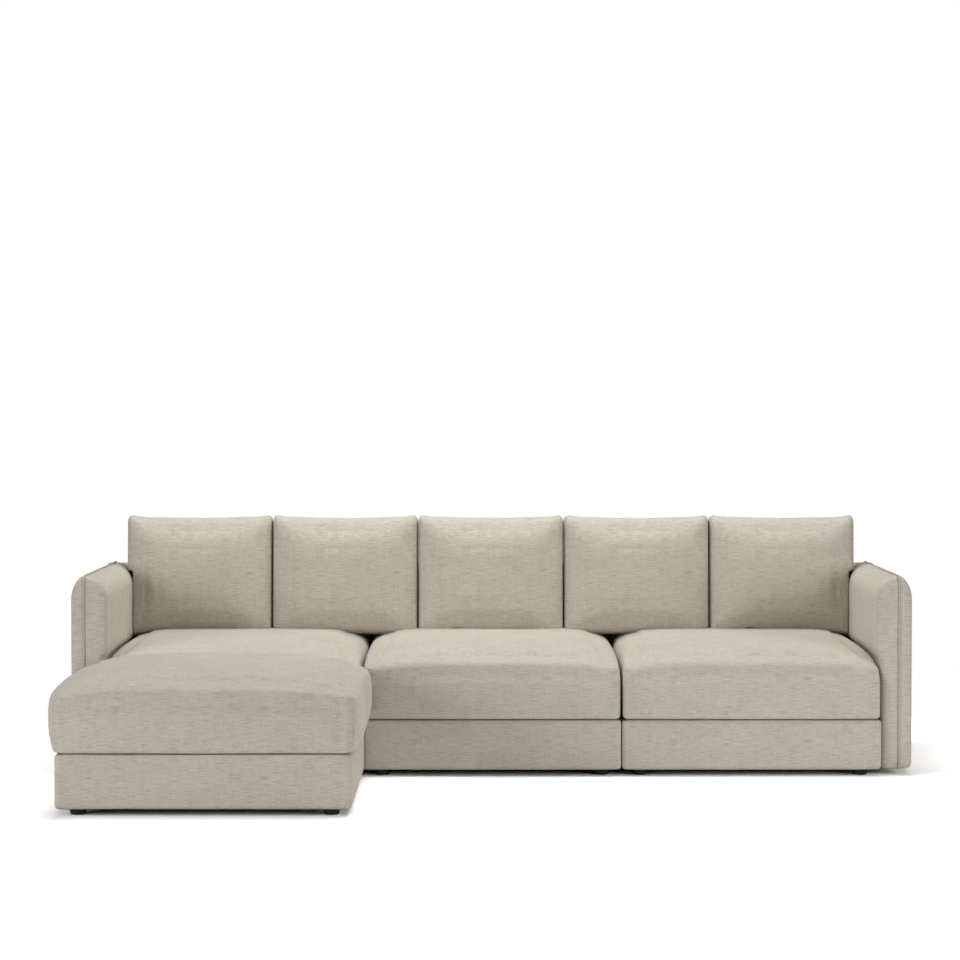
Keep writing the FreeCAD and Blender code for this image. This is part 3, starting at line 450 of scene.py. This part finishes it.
def uneven_yarn(tree, cloth, fabric):
    """The colour of the uneven yarn, and the height of its slubs."""
    # Run, rise, lowest and highest noise, weight and colour of each layer of uneven yarn.  Slubs
    # are about 1 mm high in real linen, and are drawn higher so that they show.
    layers = (
        (fabric.slub_run, fabric.slub_rise, 0.50, 0.74, 0.70, fabric.slub),
        (0.6 * fabric.slub_run, 0.8 * fabric.slub_rise, 0.52, 0.78, 0.62, fabric.fleck),
        (fabric.end_width, fabric.end_run, 0.45, 0.80, 0.35, fabric.slub),
        (fabric.patch, 0.7 * fabric.patch, 0.40, 0.70, 0.12, fabric.slub),
    )
    tint = (*fabric.ground, 1)
    heights = []
    for spot, (run, rise, low, high, weight, shade) in enumerate(layers):
        # Each layer reads the noise at a place of its own
        spread = add(
            tree, "ShaderNodeMapping",
            {"Vector": cloth, "Location": (3.7 * spot, 1.9 * spot, 0), "Scale": (1 / run, 1 / rise, 1)},
        )
        uneven = add(
            tree, "ShaderNodeTexNoise",
            {"Vector": spread.outputs["Vector"], "Scale": 1, "Detail": 2, "Roughness": 0.55},
            noise_dimensions="2D",
        )
        share = add(
            tree, "ShaderNodeMapRange",
            {"Value": uneven.outputs["Fac"], "From Min": low, "From Max": high, "To Max": weight},
        )
        tint = add(
            tree, "ShaderNodeMix", {0: share.outputs["Result"], 6: tint, 7: (*shade, 1)},
            data_type="RGBA",
        ).outputs[2]
        heights.append(share.outputs["Result"])
    return tint, heights[0]


def plain_weave(tree, cloth, fabric):
    """The height of the crossing threads."""
    # Real threads are about 0.5 mm apart, too fine to show, and are drawn three times as coarse
    threads = []
    for direction in ("X", "Y"):
        threads.append(add(
            tree, "ShaderNodeTexWave",
            {"Vector": cloth, "Scale": BAND / fabric.thread, "Distortion": 1.2,
             "Detail": 1, "Detail Scale": 0.4},
            wave_type="BANDS", bands_direction=direction,
        ).outputs["Fac"])
    weave = add(tree, "ShaderNodeMath", {0: threads[0], 1: threads[1]}, operation="MAXIMUM")
    return weave.outputs[0]


def slub_linen():
    """Slub linen: a plain weave of uneven yarn.  Thick places in the weft read as short dark
    level flecks, warp ends as faint upright lines, and the matt yarn hardly shines."""
    material, tree = new_material("slub_linen_oatmeal")
    if tree is None:
        return material
    fabric = bpy.context.scene.sofa_fabric
    cloth = add(tree, "ShaderNodeTexCoord").outputs["UV"]
    tint, slubs = uneven_yarn(tree, cloth, fabric)
    threads = plain_weave(tree, cloth, fabric)
    relief = add(tree, "ShaderNodeMath", {0: slubs, 1: threads}, operation="ADD")
    bump = add(
        tree, "ShaderNodeBump",
        {"Height": relief.outputs[0], "Strength": 0.35, "Distance": 0.6 * MM},
    )
    surface = add(
        tree, "ShaderNodeBsdfPrincipled",
        {"Base Color": tint, "Roughness": 0.92, "Specular IOR Level": 0.2, "Sheen Weight": 0.1,
         "Sheen Roughness": 0.5, "Normal": bump.outputs["Normal"]},
    )
    add(tree, "ShaderNodeOutputMaterial", {"Surface": surface.outputs["BSDF"]})
    return material


def sawn_pine():
    """Sawn pine: pale boards with brown growth lines along their length and a dry, dull face."""
    material, tree = new_material("sawn_pine")
    if tree is None:
        return material
    place = add(tree, "ShaderNodeTexCoord").outputs["Object"]
    # Width of a growth line, and the length over which it runs straight
    ring, board = 9 * MM, 260 * MM
    spread = add(
        tree, "ShaderNodeMapping",
        {"Vector": place, "Scale": (1 / board, 1 / board, 1 / ring)},
    )
    grain = add(
        tree, "ShaderNodeTexNoise",
        {"Vector": spread.outputs["Vector"], "Scale": 1, "Detail": 4, "Distortion": 0.6},
    )
    share = add(
        tree, "ShaderNodeMapRange",
        {"Value": grain.outputs["Fac"], "From Min": 0.4, "From Max": 0.65},
    )
    tint = add(
        tree, "ShaderNodeMix",
        {0: share.outputs["Result"], 6: (*linear("B09A76"), 1), 7: (*linear("8A7048"), 1)},
        data_type="RGBA",
    )
    bump = add(
        tree, "ShaderNodeBump",
        {"Height": grain.outputs["Fac"], "Strength": 0.3, "Distance": 0.4 * MM},
    )
    surface = add(
        tree, "ShaderNodeBsdfPrincipled",
        {"Base Color": tint.outputs[2], "Roughness": 0.8, "Normal": bump.outputs["Normal"]},
    )
    add(tree, "ShaderNodeOutputMaterial", {"Surface": surface.outputs["BSDF"]})
    return material


def elastic_webbing():
    """Rubber-cored webbing: dark woven straps with ribs, drawn coarser than real so they show."""
    return ribbed_cloth("elastic_webbing", "2B2724", "4A443E", 3 * MM)


def needled_felt():
    """Needled felt: grey mixed fibres, mottled and quite matt.  Clumps of fibres are drawn,
    because single ones are too fine to show."""
    return fibre_cloth("needled_felt", "8C8A85", "6F6D69", 6 * MM)


def spunbond():
    """Spun-bonded polypropylene: a thin black sheet, slightly fibrous, that dulls the light.  Its
    fibres are drawn in clumps too."""
    return fibre_cloth("spunbond_polypropylene", "1B1B1C", "2A2A2B", 2.5 * MM)


def ribbed_cloth(name, code, rib_code, spacing):
    """A woven strap whose ribs catch the light."""
    material, tree = new_material(name)
    if tree is None:
        return material
    place = add(tree, "ShaderNodeTexCoord").outputs["Object"]
    ribs = add(
        tree, "ShaderNodeTexWave",
        {"Vector": place, "Scale": BAND / spacing, "Distortion": 0.6},
        wave_type="BANDS", bands_direction="DIAGONAL",
    )
    tint = add(
        tree, "ShaderNodeMix",
        {0: ribs.outputs["Fac"], 6: (*linear(code), 1), 7: (*linear(rib_code), 1)},
        data_type="RGBA",
    )
    bump = add(
        tree, "ShaderNodeBump",
        {"Height": ribs.outputs["Fac"], "Strength": 0.4, "Distance": 0.5 * MM},
    )
    surface = add(
        tree, "ShaderNodeBsdfPrincipled",
        {"Base Color": tint.outputs[2], "Roughness": 0.85, "Normal": bump.outputs["Normal"]},
    )
    add(tree, "ShaderNodeOutputMaterial", {"Surface": surface.outputs["BSDF"]})
    return material


def fibre_cloth(name, code, fibre_code, fibre):
    """A cloth of loose fibres with no weave."""
    material, tree = new_material(name)
    if tree is None:
        return material
    place = add(tree, "ShaderNodeTexCoord").outputs["Object"]
    mixed = add(
        tree, "ShaderNodeTexNoise",
        {"Vector": place, "Scale": 1 / fibre, "Detail": 5, "Roughness": 0.7, "Distortion": 1.5},
    )
    tint = add(
        tree, "ShaderNodeMix",
        {0: mixed.outputs["Fac"], 6: (*linear(code), 1), 7: (*linear(fibre_code), 1)},
        data_type="RGBA",
    )
    bump = add(
        tree, "ShaderNodeBump",
        {"Height": mixed.outputs["Fac"], "Strength": 0.3, "Distance": 0.5 * MM},
    )
    surface = add(
        tree, "ShaderNodeBsdfPrincipled",
        {"Base Color": tint.outputs[2], "Roughness": 0.95, "Normal": bump.outputs["Normal"]},
    )
    add(tree, "ShaderNodeOutputMaterial", {"Surface": surface.outputs["BSDF"]})
    return material


def moulded_polypropylene():
    """Moulded black polypropylene: near black, with a fine spark-eroded grain that spreads its
    highlight, drawn coarser than the real tenth of a millimetre so that it shows."""
    material, tree = new_material("moulded_polypropylene_black")
    if tree is None:
        return material
    place = add(tree, "ShaderNodeTexCoord").outputs["Object"]
    grain = add(tree, "ShaderNodeTexNoise", {"Vector": place, "Scale": 1 / (1.2 * MM), "Detail": 2})
    bump = add(
        tree, "ShaderNodeBump",
        {"Height": grain.outputs["Fac"], "Strength": 0.2, "Distance": 0.2 * MM},
    )
    tint = add(
        tree, "ShaderNodeMix",
        {0: grain.outputs["Fac"], 6: (*linear("161617"), 1), 7: (*linear("222223"), 1)},
        data_type="RGBA",
    )
    surface = add(
        tree, "ShaderNodeBsdfPrincipled",
        {"Base Color": tint.outputs[2], "Roughness": 0.45, "IOR": 1.49,
         "Normal": bump.outputs["Normal"]},
    )
    add(tree, "ShaderNodeOutputMaterial", {"Surface": surface.outputs["BSDF"]})
    return material


def zinc_plated_steel():
    """Zinc-plated steel: a cool grey metal, clouded by the plating bath."""
    material, tree = new_material("zinc_plated_steel")
    if tree is None:
        return material
    place = add(tree, "ShaderNodeTexCoord").outputs["Object"]
    cloud = add(tree, "ShaderNodeTexNoise", {"Vector": place, "Scale": 1 / (5 * MM), "Detail": 3})
    tint = add(
        tree, "ShaderNodeMix",
        {0: cloud.outputs["Fac"], 6: (*linear("B4B7B9"), 1), 7: (*linear("CBCDCC"), 1)},
        data_type="RGBA",
    )
    rough = add(
        tree, "ShaderNodeMapRange",
        {"Value": cloud.outputs["Fac"], "To Min": 0.3, "To Max": 0.5},
    )
    surface = add(
        tree, "ShaderNodeBsdfPrincipled",
        {"Base Color": tint.outputs[2], "Metallic": 1.0, "Roughness": rough.outputs["Result"]},
    )
    add(tree, "ShaderNodeOutputMaterial", {"Surface": surface.outputs["BSDF"]})
    return material


def studio_white(stage):
    """White floor paint: even and matt.  It lights the sofa as paint does, and the camera sees it
    burnt out to white."""
    material, tree = new_material("studio_floor_white")
    if tree is None:
        return material
    seen = add(tree, "ShaderNodeLightPath").outputs["Is Camera Ray"]
    white = add(
        tree, "ShaderNodeMapRange", {"Value": seen, "To Min": stage.paint, "To Max": stage.floor},
    )
    surface = add(tree, "ShaderNodeBsdfDiffuse", {"Color": white.outputs["Result"]})
    add(tree, "ShaderNodeOutputMaterial", {"Surface": surface.outputs["BSDF"]})
    return material


def dress_node(node, material):
    """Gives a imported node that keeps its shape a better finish."""
    mesh = frame["nodes"][node].data
    mesh.materials.clear()
    mesh.materials.append(material)


class SofaTimber(bpy.types.Operator):
    """Finish the timber frames, the webbing and the decks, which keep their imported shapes"""

    bl_idname = "sofa.timber"
    bl_label = "Frames and webbing"

    def execute(self, context):
        for base in BASES:
            dress_node(f"{base}_frame", sawn_pine())
            dress_node(f"{base}_webbing", elastic_webbing())
            dress_node(f"{base}_deck", needled_felt())
        for side in ARMS:
            dress_node(f"{side}_arm_frame", sawn_pine())
        for side in BACKS:
            dress_node(f"{side}_back_frame", sawn_pine())
        return {"FINISHED"}


class SofaFittings(bpy.types.Operator):
    """Finish the feet, studs, bolts and link plates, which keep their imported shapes"""

    bl_idname = "sofa.fittings"
    bl_label = "Feet and fittings"

    def execute(self, context):
        for base in BASES:
            dress_node(f"{base}_feet", moulded_polypropylene())
            dress_node(f"{base}_foot_studs", zinc_plated_steel())
        for node in ("arm_bolts", "back_bolts", "link_plates", "link_screws"):
            dress_node(node, zinc_plated_steel())
        return {"FINISHED"}


class SofaDustCovers(bpy.types.Operator):
    """Staple a thin black sheet under each base"""

    bl_idname = "sofa.dust_covers"
    bl_label = "Dust covers"

    cuts: IntProperty(name="Cuts", description="Divisions of the sheet each way", default=24)
    sag: length("Sag", 2, "How far the sheet hangs down in its middle")
    thickness: length("Thickness", 0.6, "Thickness of the sheet")

    def execute(self, context):
        for base in BASES:
            node = f"{base}_dust_cover"
            low, high = (Vector(corner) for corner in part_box(node))
            size = high - low
            clear_selection()
            bpy.ops.mesh.primitive_grid_add(
                x_subdivisions=self.cuts, y_subdivisions=self.cuts, size=1,
                location=(low + high) / 2,
            )
            obj = context.object
            obj.name = f"{base}_dust_sheet"
            obj.scale = (size.x, size.y, 1)
            bpy.ops.object.transform_apply(location=True, rotation=True, scale=True)
            co = points(obj)
            share = (co[:, :2] - np.array(low)[:2]) / np.array(size)[:2]
            co[:, 2] -= self.sag * np.prod(np.sin(math.pi * share), axis=1)
            set_points(obj, co)
            apply(obj, "SOLIDIFY", thickness=self.thickness, offset=0)
            obj.data.materials.append(spunbond())
            stand_for(obj, node)
        return {"FINISHED"}


class SofaBaseCovers(bpy.types.Operator):
    """Stretch a padded linen cover round each base"""

    bl_idname = "sofa.base_covers"
    bl_label = "Base covers"

    def execute(self, context):
        for seed, base in enumerate(BASES):
            node = f"{base}_cover"
            obj = copied(node, f"{base}_base_linen")
            pad_panel(obj, seed)
            lay_cloth(obj, slub_linen())
            stand_for(obj, node)
        return {"FINISHED"}


def pad_panel(obj, seed):
    """Softens a padded panel that is stretched on timber: rounder edges, slightly uneven faces."""
    filling = bpy.context.scene.sofa_filling
    remeshed(obj, filling.panel_mesh)
    apply(obj, "SMOOTH", factor=0.5, iterations=filling.panel_rounds)
    ripple(obj, filling.panel_ripple, filling.panel_wave, seed, 1 - normals(obj)[:, 0] ** 2)


def upholster(side, kind, seed):
    """One arm or back: its padded cover, the groove along its welt, and the welt."""
    seams = bpy.context.scene.sofa_seams
    inner = in_frame(f"{side}_{kind}_frame")
    low, high = box_of(f"{side}_{kind}_welt")
    middle = (low + high) / 2
    axis = 0 if kind == "arm" else 1
    across = np.eye(3)[axis]

    def beside_welt(co):
        return (np.abs(co[:, axis] - middle[axis]) < 2 * seams.groove) & ~inner(co)

    obj = copied(f"{side}_{kind}_pad", f"{side}_{kind}_linen")
    pad_panel(obj, seed)
    seam(obj, middle, across, beside_welt, seams.groove, seams.depth)
    lay_cloth(obj, slub_linen())
    stand_for(obj, f"{side}_{kind}_pad")

    welt = copied(f"{side}_{kind}_welt", f"{side}_{kind}_cord_linen")
    set_points(welt, points(welt) - normals(welt) * seams.welt_gap)
    lay_cloth(welt, slub_linen())
    stand_for(welt, f"{side}_{kind}_welt")


class SofaArms(bpy.types.Operator):
    """Upholster both arms and lay the welts"""

    bl_idname = "sofa.arms"
    bl_label = "Arms"

    def execute(self, context):
        for seed, side in enumerate(ARMS, start=len(BASES)):
            upholster(side, "arm", seed)
        return {"FINISHED"}


class SofaBacks(bpy.types.Operator):
    """Upholster the three backs and lay the welts"""

    bl_idname = "sofa.backs"
    bl_label = "Backs"

    def execute(self, context):
        for seed, side in enumerate(BACKS, start=len(BASES) + len(ARMS)):
            upholster(side, "back", seed)
        return {"FINISHED"}


def cushion_corners(node):
    """The upright corners of a cushion: the middle of each rounding, and which way it points."""
    reach = bpy.context.scene.sofa_seams.corner
    (left, front, _), (right, rear, _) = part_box(node)
    for x, across in ((left + reach, -1), (right - reach, 1)):
        for y, along in ((front + reach, -1), (rear - reach, 1)):
            yield np.array((x, y)), np.array((across, along))


def square_corners(obj, node):
    """Gives the upright corners of a cushion a tighter turn, as a sewn corner has."""
    co = points(obj)
    for middle, way in cushion_corners(node):
        out = (co[:, :2] - middle) * way
        turned = np.all(out > 0, axis=1)
        reach = np.linalg.norm(out[turned], axis=1, keepdims=True)
        shares = out[turned] / reach
        stretch = np.sum(shares**CORNER_POWER, axis=1, keepdims=True) ** (-1 / CORNER_POWER)
        co[turned, :2] = middle + way * out[turned] * stretch
    set_points(obj, co)


def sew_corners(obj, node):
    """Sews the upright corners of a cushion and draws in the upper end of each seam."""
    seams = bpy.context.scene.sofa_seams
    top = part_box(node)[1][2] - seams.tuck_drop
    for middle, way in cushion_corners(node):
        across = np.array((way[1], -way[0], 0)) / math.sqrt(2)

        def at_corner(co):
            out = (co[:, :2] - middle) * way
            return np.all(out > 0, axis=1) & (co[:, 2] < top)

        seam(obj, (*middle, 0), across, at_corner, seams.width, seams.depth)
        co = points(obj)
        tip = np.array((*(middle + way * seams.corner * TUCK_SHARE), top))
        near = np.exp(-np.sum((co - tip) ** 2, axis=1) / seams.tuck_reach**2)
        inwards = np.array((*(-way / math.sqrt(2)), 0))
        set_points(obj, co + (seams.tuck_depth * near)[:, None] * inwards)


def puff_sides(obj, node, amount):
    """Fills out the two sides of the footstool's cushion close behind its corners."""
    low, high = box_of(node)
    co, outwards = points(obj), normals(obj)
    share = 2 * (co - low) / (high - low) - 1
    # Nothing half-way along a side or at its ends, most near its ends
    along = share[:, 1] ** 2 - share[:, 1] ** 6
    # Nothing at the lower edge or in the top fifth, most between them
    upright = 1 - np.abs(np.clip(share[:, 2] * 1.25 + 0.25, -1, 1)) ** 3
    full = np.clip(along, 0, None) * upright * np.abs(outwards[:, 0]) ** 2
    co[:, 0] += amount * full * np.sign(outwards[:, 0])
    set_points(obj, co)


def fill_shoulders(obj, node, amount):
    """Fills out the top of a seat cushion beside its crown, more towards the rear."""
    low, high = box_of(node)
    co, outwards = points(obj), normals(obj)
    share = (co - low) / (high - low)
    # From 0 at the crown to 1 at the sides; the cushion gains most at six sevenths of that
    aside = np.abs(2 * share[:, 0] - 1)
    # From nothing at the front to all of it two fifths of the way back
    back = np.clip(2.5 * share[:, 1], 0, 1)
    full = 4 * (aside**4 - aside**10) * back * np.clip(outwards[:, 2], 0, None)
    co[:, 2] += amount * full
    set_points(obj, co)


def sew_seat(base, seed):
    """One seat cushion, or the footstool's: squared, filled, made uneven and sewn."""
    filling, seams = bpy.context.scene.sofa_filling, bpy.context.scene.sofa_seams
    node = f"{base}_cushion"
    obj = copied(node, f"{base}_cushion_linen")
    remeshed(obj, filling.seat_mesh)
    square_corners(obj, node)
    if base == "footstool":
        puff_sides(obj, node, seams.puff)
    else:
        fill_shoulders(obj, node, seams.shoulder)
    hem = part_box(node)[0][2] + filling.seat_hem
    furthest = swell(filling.seat_front, filling.seat_side, filling.seat_top)
    fill_cover(obj, furthest, lambda co: co[:, 2] < hem)
    ripple(obj, filling.seat_ripple, filling.seat_wave, seed)
    apply(obj, "SUBSURF", levels=1, render_levels=1)
    sew_corners(obj, node)
    lay_cloth(obj, slub_linen())
    stand_for(obj, node)


class SofaSeatCushions(bpy.types.Operator):
    """Sew and fill the seat cushions and the footstool's cushion"""

    bl_idname = "sofa.seat_cushions"
    bl_label = "Seat cushions"

    def execute(self, context):
        for seed, base in enumerate(BASES):
            sew_seat(base, seed)
        return {"FINISHED"}


def even_rear(obj):
    """Evens out the rear of a loose cushion, which leans on the back and stays nearly flat."""
    rear = group_of(obj, normals(obj)[:, 1] > REAR_FACING)
    rounds = bpy.context.scene.sofa_filling.rear_rounds
    apply(obj, "SMOOTH", vertex_group=rear, factor=0.5, iterations=rounds, use_x=False, use_z=False)
    obj.vertex_groups.clear()


def lift_ears(obj, node):
    """Lifts the two upper corners of a loose cushion a little above the edge between them."""
    seams = bpy.context.scene.sofa_seams
    low, high = box_of(node)
    co = points(obj)
    aside = np.minimum(co[:, 0] - low[0], high[0] - co[:, 0])
    below = high[2] - co[:, 2]
    near = np.exp(-((aside / seams.ear_reach) ** 2) - (below / seams.ear_reach) ** 2)
    co[:, 2] += seams.ear * near
    set_points(obj, co)


def sew_loose(node, seed):
    """One loose back cushion: smoothed, filled and made uneven."""
    filling = bpy.context.scene.sofa_filling
    obj = copied(node, f"{node}_linen")
    remeshed(obj, filling.loose_mesh)
    apply(obj, "SMOOTH", factor=0.5, iterations=filling.loose_rounds, use_x=False, use_z=False)
    fill_cover(obj, swell(filling.loose_front, filling.loose_side, filling.loose_top))
    even_rear(obj)
    lift_ears(obj, node)
    ripple(obj, filling.loose_ripple, filling.loose_wave, seed, np.abs(normals(obj)[:, 1]))
    apply(obj, "SUBSURF", levels=1, render_levels=1)
    lay_cloth(obj, slub_linen())
    stand_for(obj, node)


class SofaBackCushions(bpy.types.Operator):
    """Sew and fill the loose back cushions"""

    bl_idname = "sofa.back_cushions"
    bl_label = "Back cushions"

    def execute(self, context):
        for seed, node in enumerate(LOOSE, start=len(BASES)):
            sew_loose(node, seed)
        return {"FINISHED"}


class SofaStageSet(bpy.types.Operator):
    """Set up the floor, the light panels, the white wall and the camera"""

    bl_idname = "sofa.stage"
    bl_label = "Stage"

    def execute(self, context):
        scene = context.scene
        stage = scene.sofa_stage
        self.lay_floor(stage)
        for side, (place, target, size) in PANELS.items():
            self.light_panel(f"{side}_panel", place, target, size, getattr(stage, side))
        self.hang_wall(scene)
        self.stand_camera(scene, stage)
        return {"FINISHED"}

    def lay_floor(self, stage):
        """A white painted floor that ends behind the sofa."""
        clear_selection()
        bpy.ops.mesh.primitive_plane_add(size=1, location=(0, stage.wall - stage.depth / 2, 0))
        floor = bpy.context.object
        floor.name = "studio_floor"
        floor.scale = (stage.breadth, stage.depth, 1)
        bpy.ops.object.transform_apply(location=True, rotation=True, scale=True)
        floor.data.materials.append(studio_white(stage))

    def light_panel(self, name, place, target, size, power):
        """A soft panel that faces a point."""
        lamp = bpy.data.lights.new(name, "AREA")
        lamp.shape = "RECTANGLE"
        lamp.size, lamp.size_y = size
        lamp.energy = power
        panel = bpy.data.objects.new(name, lamp)
        panel.location = place
        panel.rotation_euler = (Vector(target) - Vector(place)).to_track_quat("-Z", "Y").to_euler()
        bpy.context.scene.collection.objects.link(panel)

    def hang_wall(self, scene):
        """A white studio wall all round, which the camera sees and which gives no light."""
        world = bpy.data.worlds.new("studio_wall")
        scene.world = world
        world.use_nodes = True
        tree = world.node_tree
        tree.nodes.clear()
        seen = add(tree, "ShaderNodeLightPath").outputs["Is Camera Ray"]
        wall = add(tree, "ShaderNodeBackground", {"Color": (1, 1, 1, 1), "Strength": seen})
        add(tree, "ShaderNodeOutputWorld", {"Surface": wall.outputs["Background"]})
        scene.view_settings.view_transform = "Standard"

    def stand_camera(self, scene, stage):
        """The camera, at the height and distance of the photograph's."""
        lens = bpy.data.cameras.new("studio_camera")
        lens.lens = stage.lens
        lens.sensor_width = stage.film
        camera = bpy.data.objects.new("studio_camera", lens)
        camera.location = stage.eye
        camera.rotation_euler = (math.pi / 2 - stage.pitch, 0, 0)
        scene.collection.objects.link(camera)
        scene.camera = camera


class SofaPanel(bpy.types.Panel):
    """Lists the steps in the 3D view's sidebar."""

    bl_label = "Sofa"
    bl_idname = "VIEW3D_PT_sofa"
    bl_space_type = "VIEW_3D"
    bl_region_type = "UI"
    bl_category = "Sofa"

    def draw(self, context):
        for step in STEPS:
            self.layout.operator(step.bl_idname)


STEPS = (
    SofaTimber, SofaFittings, SofaDustCovers, SofaBaseCovers, SofaArms, SofaBacks,
    SofaSeatCushions, SofaBackCushions, SofaStageSet,
)
GROUPS = {
    "sofa_fabric": SofaFabric,
    "sofa_filling": SofaFilling,
    "sofa_seams": SofaSeams,
    "sofa_stage": SofaStage,
}


def register():
    """Registers the properties, the operators and the panel."""
    for name, group in GROUPS.items():
        bpy.utils.register_class(group)
        setattr(bpy.types.Scene, name, PointerProperty(type=group))
    for cls in (*STEPS, SofaPanel):
        bpy.utils.register_class(cls)


def unregister():
    """Takes them out again."""
    for cls in reversed((*STEPS, SofaPanel)):
        bpy.utils.unregister_class(cls)
    for name, group in GROUPS.items():
        delattr(bpy.types.Scene, name)
        bpy.utils.unregister_class(group)


def main():
    """Builds every piece in order."""
    register()
    for step in STEPS:
        family, name = step.bl_idname.split(".")
        getattr(getattr(bpy.ops, family), name)()


if __name__ == "__main__":
    main()
